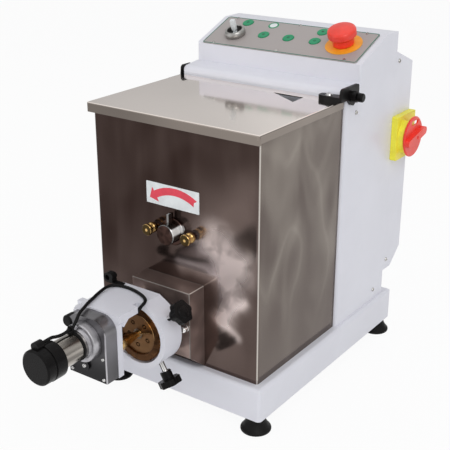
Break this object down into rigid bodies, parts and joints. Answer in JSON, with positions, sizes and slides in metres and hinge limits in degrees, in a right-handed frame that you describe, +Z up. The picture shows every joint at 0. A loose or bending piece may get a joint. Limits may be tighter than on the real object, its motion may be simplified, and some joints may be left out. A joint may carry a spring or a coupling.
{
  "type": "electric pasta maker",
  "caption": "Bench-top electric pasta maker: steel mixing trough with hinged lid over an extruding screw, bronze die, clamp-on motor cutter and slanted control panel.",
  "frame": {"origin": "middle of the whole outline on the floor, under the rubber feet", "axes": "+X to the machine's right, +Y to its back, +Z up; the die and the cutter face -Y"},
  "size_m": [0.3076, 0.628, 0.4898],
  "materials": {
    "white_paint": "semi-gloss white enamel",
    "stainless": "polished stainless sheet",
    "chrome": "polished chrome",
    "bright_steel": "machined steel",
    "cast_grey": "grey casting",
    "cast_alloy": "matt grey cast alloy",
    "bronze": "turned bronze",
    "brass": "turned brass",
    "black_plastic": "matt black plastic",
    "black_rubber": "black rubber",
    "red_plastic": "red plastic",
    "yellow_plastic": "yellow plastic",
    "orange_disc": "orange-yellow printed disc",
    "panel_foil": "warm grey printed foil with a green border",
    "green_key": "green key",
    "label": "white label with a plain red arrow",
    "cream_plastic": "pale plastic"
  },
  "bodies": {
    "frame": {"base_pan": "white_paint", "foot_front_left": "black_rubber", "foot_front_right": "black_rubber", "foot_rear_left": "black_rubber", "foot_rear_right": "black_rubber", "column_housing": "white_paint", "rear_cover": "white_paint", "panel_screws": "chrome", "control_plate": "panel_foil", "toggle_bezel": "chrome", "estop_ring": "orange_disc", "switch_plate": "yellow_plastic", "switch_blocks": "black_plastic", "arrow_label": "label", "casing": "stainless", "trough": "stainless", "barrel_cover": "stainless", "barrel": "cast_grey", "barrel_bolts": "chrome", "die": "bronze", "front_hub": "chrome", "drive_motor": "cast_grey", "gearbox_case": "cast_grey", "shaft_bearings": "bright_steel", "cable_gland": "black_plastic"},
    "ring_nut": {"ring_nut": "bronze"},
    "lid": {"lid": "stainless", "hinge_right": "black_plastic", "hinge_left": "black_plastic", "hinge_screws": "chrome"},
    "hinge_plunger": {"hinge_plunger": "black_plastic"},
    "mixer": {"mixer_shaft": "bright_steel", "mixer_gear": "bright_steel"},
    "screw": {"auger": "bright_steel", "auger_gear": "bright_steel"},
    "motor_pinion": {"motor_pinion": "bright_steel"},
    "thumb_nut_left": {"thumb_nut_left": "brass"},
    "thumb_nut_right": {"thumb_nut_right": "brass"},
    "cutter": {"cutter_bracket": "white_paint", "gear_case": "cast_alloy", "cutter_motor": "chrome", "motor_cap": "black_plastic", "cutter_cable": "black_rubber", "cable_clips": "black_rubber", "case_screws": "chrome"},
    "cutter_gear": {"cutter_gear": "bright_steel"},
    "cutter_spindle": {"cutter_shaft": "bright_steel", "cutter_hub": "brass", "cutter_blades": "bright_steel"},
    "clamp_knob_upper": {"clamp_knob_upper": "black_plastic"},
    "clamp_knob_lower": {"clamp_knob_lower": "black_plastic"},
    "toggle_lever": {"toggle_lever": "cream_plastic"},
    "estop_stem": {"estop_stem": "black_plastic"},
    "estop_head": {"estop_head": "red_plastic"},
    "switch_handle": {"switch_handle": "red_plastic"},
    "key_mix": {"key_mix": "green_key"},
    "key_extrude": {"key_extrude": "green_key"},
    "key_cut": {"key_cut": "green_key"},
    "key_fan": {"key_fan": "green_key"},
    "key_stop": {"key_stop": "green_key"}
  },
  "joints": [
    {"name": "lid_hinge", "type": "hinge", "parent": "frame", "child": "lid", "pos_m": [-0.01125, 0.1195, 0.4088], "axis": [-1, 0, 0], "range_deg": [0, 110]},
    {"name": "hinge_plunger_pull", "type": "slide", "parent": "lid", "child": "hinge_plunger", "axis": [1, 0, 0], "range_m": [0, 0.006], "stiffness_N_per_m": 400},
    {"name": "mixer_spin", "type": "hinge", "parent": "frame", "child": "mixer", "pos_m": [-0.01125, 0.006, 0.253], "axis": [0, 1, 0], "continuous": true},
    {"name": "screw_spin", "type": "hinge", "parent": "frame", "child": "screw", "pos_m": [-0.01125, 0.006, 0.138], "axis": [0, 1, 0], "continuous": true},
    {"name": "motor_pinion_spin", "type": "hinge", "parent": "frame", "child": "motor_pinion", "pos_m": [-0.01125, 0.146, 0.3455], "axis": [0, 1, 0], "continuous": true},
    {"name": "ring_nut_turn", "type": "hinge", "parent": "frame", "child": "ring_nut", "pos_m": [-0.01125, -0.151, 0.138], "axis": [0, 1, 0], "continuous": true},
    {"name": "thumb_nut_left_turn", "type": "hinge", "parent": "frame", "child": "thumb_nut_left", "pos_m": [-0.04225, -0.094, 0.253], "axis": [0, 1, 0], "continuous": true},
    {"name": "thumb_nut_right_turn", "type": "hinge", "parent": "frame", "child": "thumb_nut_right", "pos_m": [0.01975, -0.094, 0.253], "axis": [0, 1, 0], "continuous": true},
    {"name": "cutter_slide", "type": "slide", "parent": "frame", "child": "cutter", "axis": [0, -1, 0], "range_m": [0, 0.06]},
    {"name": "cutter_gear_spin", "type": "hinge", "parent": "cutter", "child": "cutter_gear", "pos_m": [-0.0355, -0.216, 0.152], "axis": [0, 1, 0], "continuous": true},
    {"name": "cutter_spin", "type": "hinge", "parent": "cutter", "child": "cutter_spindle", "pos_m": [-0.01125, -0.194, 0.138], "axis": [0, 1, 0], "continuous": true},
    {"name": "clamp_knob_upper_turn", "type": "hinge", "parent": "cutter", "child": "clamp_knob_upper", "pos_m": [0.0379, -0.145, 0.17242], "axis": [0.8192, 0, 0.5736], "continuous": true},
    {"name": "clamp_knob_lower_turn", "type": "hinge", "parent": "cutter", "child": "clamp_knob_lower", "pos_m": [0.01875, -0.145, 0.08604], "axis": [0.5, 0, -0.866], "continuous": true},
    {"name": "toggle_rock", "type": "hinge", "parent": "frame", "child": "toggle_lever", "pos_m": [-0.09675, 0.17522, 0.45943], "axis": [0, 0.9285, 0.3714], "range_deg": [-14, 14]},
    {"name": "estop_push", "type": "slide", "parent": "frame", "child": "estop_stem", "axis": [0, 0.3714, -0.9285], "range_m": [-0.004, 0]},
    {"name": "estop_twist", "type": "hinge", "parent": "estop_stem", "child": "estop_head", "pos_m": [0.07725, 0.18023, 0.47382], "axis": [0, -0.3714, 0.9285], "range_deg": [-45, 0]},
    {"name": "main_switch_turn", "type": "hinge", "parent": "frame", "child": "switch_handle", "pos_m": [0.14375, 0.284, 0.3176], "axis": [1, 0, 0], "range_deg": [-90, 0]},
    {"name": "key_mix_press", "type": "slide", "parent": "frame", "child": "key_mix", "axis": [0, 0.3714, -0.9285], "range_m": [0, 0.0008], "stiffness_N_per_m": 300},
    {"name": "key_extrude_press", "type": "slide", "parent": "frame", "child": "key_extrude", "axis": [0, 0.3714, -0.9285], "range_m": [0, 0.0008], "stiffness_N_per_m": 300},
    {"name": "key_cut_press", "type": "slide", "parent": "frame", "child": "key_cut", "axis": [0, 0.3714, -0.9285], "range_m": [0, 0.0008], "stiffness_N_per_m": 300},
    {"name": "key_fan_press", "type": "slide", "parent": "frame", "child": "key_fan", "axis": [0, 0.3714, -0.9285], "range_m": [0, 0.0008], "stiffness_N_per_m": 300},
    {"name": "key_stop_press", "type": "slide", "parent": "frame", "child": "key_stop", "axis": [0, 0.3714, -0.9285], "range_m": [0, 0.0008], "stiffness_N_per_m": 300}
  ],
  "couplings": [
    {"joint": "screw_spin", "follows": "mixer_spin", "ratio": -1.5556},
    {"joint": "motor_pinion_spin", "follows": "mixer_spin", "ratio": -3.1111},
    {"joint": "cutter_spin", "follows": "cutter_gear_spin", "ratio": -3.7059}
  ]
}
